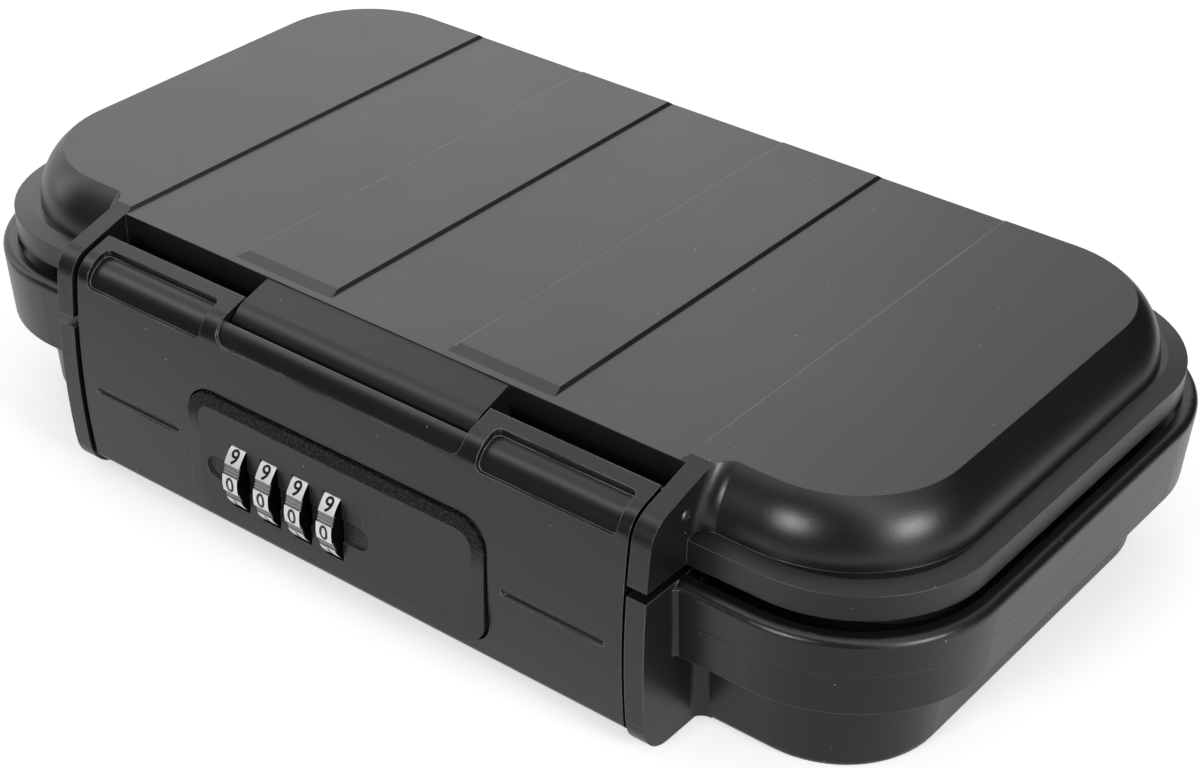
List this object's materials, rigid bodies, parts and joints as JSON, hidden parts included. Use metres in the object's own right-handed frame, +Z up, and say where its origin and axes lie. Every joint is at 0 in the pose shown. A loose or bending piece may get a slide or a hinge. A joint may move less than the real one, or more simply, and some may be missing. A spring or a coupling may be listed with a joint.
{
  "type": "combination lock box",
  "caption": "Shallow moulded lock box with a rear-hinged lid and a swing-down front latch that holds a combination lock with turning number dials.",
  "frame": {"origin": "centre of the bounding box in X and Y, at the floor", "axes": "+X to the right seen from the latch side, -Y towards the latch, +Z up"},
  "size_m": [0.2128, 0.1331, 0.0492],
  "materials": {
    "case_plastic": "satin moulded ABS, black",
    "lid_plastic": "satin moulded ABS, black",
    "latch_plastic": "satin moulded ABS, black",
    "panel_plastic": "satin face with a stippled border, black",
    "cover_plastic": "fine moulded texture, black",
    "seal_rubber": "soft matt rubber",
    "pin_steel": "drawn",
    "screw_steel": "zinc plated",
    "bolt_steel": "pressed and deburred",
    "spring_steel": "hard rolled strip",
    "frame_metal": "die cast",
    "dial_metal": "bright plated with filled numerals",
    "sleeve_brass": "turned",
    "lever_plastic": "moulded acetal, dull red"
  },
  "bodies": {
    "base": {"base_tray": "case_plastic", "seal_ring": "seal_rubber", "hinge_pins": "pin_steel", "strike": "bolt_steel", "strike_screws": "screw_steel"},
    "lid": {"lid_shell": "lid_plastic", "latch_pin": "pin_steel"},
    "latch": {"latch_shell": "latch_plastic", "latch_cover": "cover_plastic", "cover_screws": "screw_steel", "lock_panel": "panel_plastic", "lock_frame": "frame_metal", "detent_spring": "spring_steel"},
    "reset": {"reset_lever": "lever_plastic"},
    "bolt": {"spindle": "pin_steel", "lock_bolt": "bolt_steel", "spindle_clip": "spring_steel"},
    "wheel_1": {"dial_1": "dial_metal"},
    "sleeve_1": {"code_sleeve_1": "sleeve_brass"},
    "wheel_2": {"dial_2": "dial_metal"},
    "sleeve_2": {"code_sleeve_2": "sleeve_brass"},
    "wheel_3": {"dial_3": "dial_metal"},
    "sleeve_3": {"code_sleeve_3": "sleeve_brass"},
    "wheel_4": {"dial_4": "dial_metal"},
    "sleeve_4": {"code_sleeve_4": "sleeve_brass"}
  },
  "joints": [
    {"name": "lid_hinge", "type": "hinge", "parent": "base", "child": "lid", "pos_m": [0, 0.06325, 0.0316], "axis": [-1, 0, 0], "range_deg": [0, 105]},
    {"name": "latch_pivot", "type": "hinge", "parent": "lid", "child": "latch", "pos_m": [0, -0.0542, 0.04305], "axis": [-1, 0, 0], "range_deg": [0, 95]},
    {"name": "bolt_slide", "type": "slide", "parent": "latch", "child": "bolt", "axis": [1, 0, 0], "range_m": [0, 0.007]},
    {"name": "reset_slide", "type": "slide", "parent": "latch", "child": "reset", "axis": [1, 0, 0], "range_m": [0, 0.002]},
    {"name": "dial_1_turn", "type": "hinge", "parent": "latch", "child": "wheel_1", "pos_m": [-0.02125, -0.05815, 0.017], "axis": [1, 0, 0], "continuous": true},
    {"name": "dial_2_turn", "type": "hinge", "parent": "latch", "child": "wheel_2", "pos_m": [-0.01395, -0.05815, 0.017], "axis": [1, 0, 0], "continuous": true},
    {"name": "dial_3_turn", "type": "hinge", "parent": "latch", "child": "wheel_3", "pos_m": [-0.00665, -0.05815, 0.017], "axis": [1, 0, 0], "continuous": true},
    {"name": "dial_4_turn", "type": "hinge", "parent": "latch", "child": "wheel_4", "pos_m": [0.00065, -0.05815, 0.017], "axis": [1, 0, 0], "continuous": true},
    {"name": "sleeve_1_shift", "type": "slide", "parent": "wheel_1", "child": "sleeve_1", "axis": [1, 0, 0], "range_m": [0, 0.002]},
    {"name": "sleeve_2_shift", "type": "slide", "parent": "wheel_2", "child": "sleeve_2", "axis": [1, 0, 0], "range_m": [0, 0.002]},
    {"name": "sleeve_3_shift", "type": "slide", "parent": "wheel_3", "child": "sleeve_3", "axis": [1, 0, 0], "range_m": [0, 0.002]},
    {"name": "sleeve_4_shift", "type": "slide", "parent": "wheel_4", "child": "sleeve_4", "axis": [1, 0, 0], "range_m": [0, 0.002]}
  ],
  "couplings": [
    {"joint": "sleeve_1_shift", "follows": "reset_slide", "ratio": 1},
    {"joint": "sleeve_2_shift", "follows": "reset_slide", "ratio": 1},
    {"joint": "sleeve_3_shift", "follows": "reset_slide", "ratio": 1},
    {"joint": "sleeve_4_shift", "follows": "reset_slide", "ratio": 1}
  ]
}
